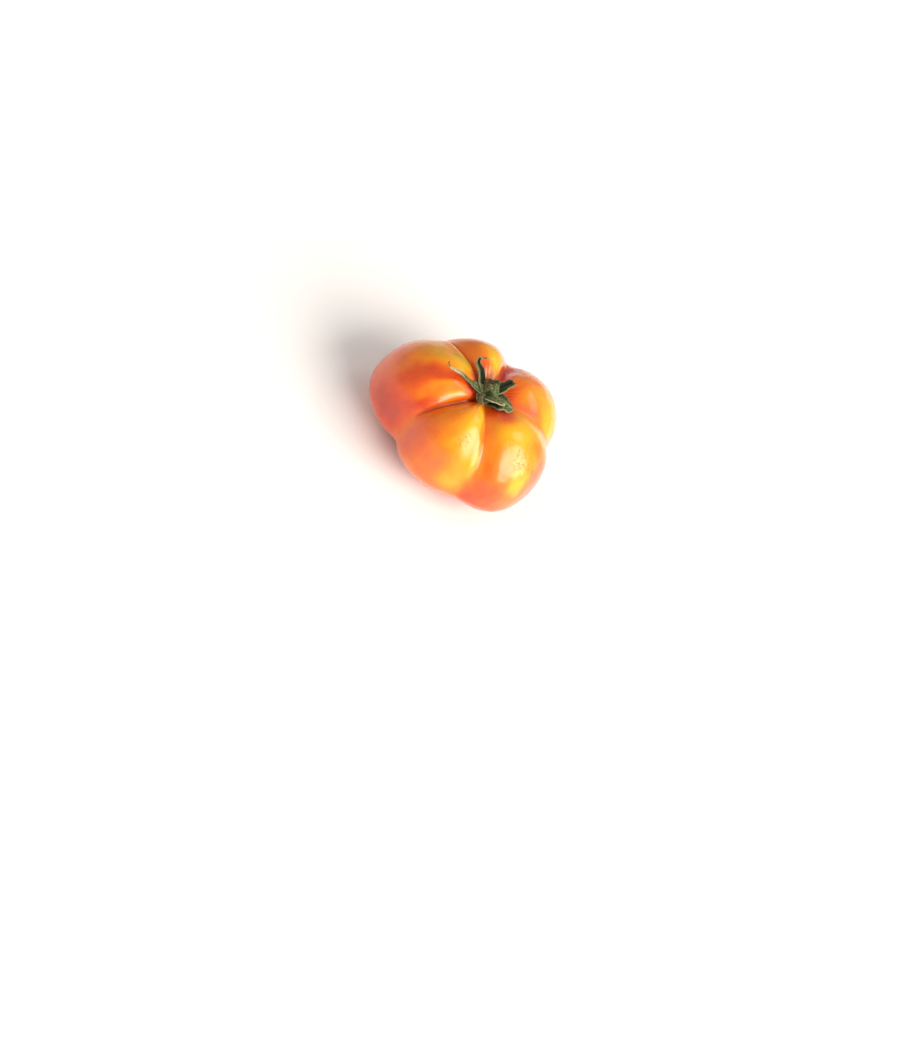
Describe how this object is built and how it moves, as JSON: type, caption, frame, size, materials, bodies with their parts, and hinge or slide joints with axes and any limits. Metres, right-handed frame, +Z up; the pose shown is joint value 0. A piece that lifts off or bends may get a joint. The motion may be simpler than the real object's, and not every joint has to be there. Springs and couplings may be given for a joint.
{
  "type": "tomato",
  "caption": "Whole ribbed beefsteak tomato with deep creased lobes, its green crown of sepals and a short stub of stem, standing on its blossom end.",
  "frame": {"origin": "on the resting plane, below the middle of the part's box", "axes": "+Z up along the fruit's axis, from blossom end to stem; -Y faces the picture's camera; +X to its right"},
  "size_m": [0.0992, 0.0918, 0.0604],
  "materials": {
    "tomato_skin": "smooth waxy skin, orange and yellow on the lobes and red in the grooves",
    "green_crown": "dull, finely hairy leaf and stem, brown and dry at the cut end"
  },
  "bodies": {
    "root": {"fruit": "tomato_skin", "calyx": "green_crown"}
  },
  "joints": []
}
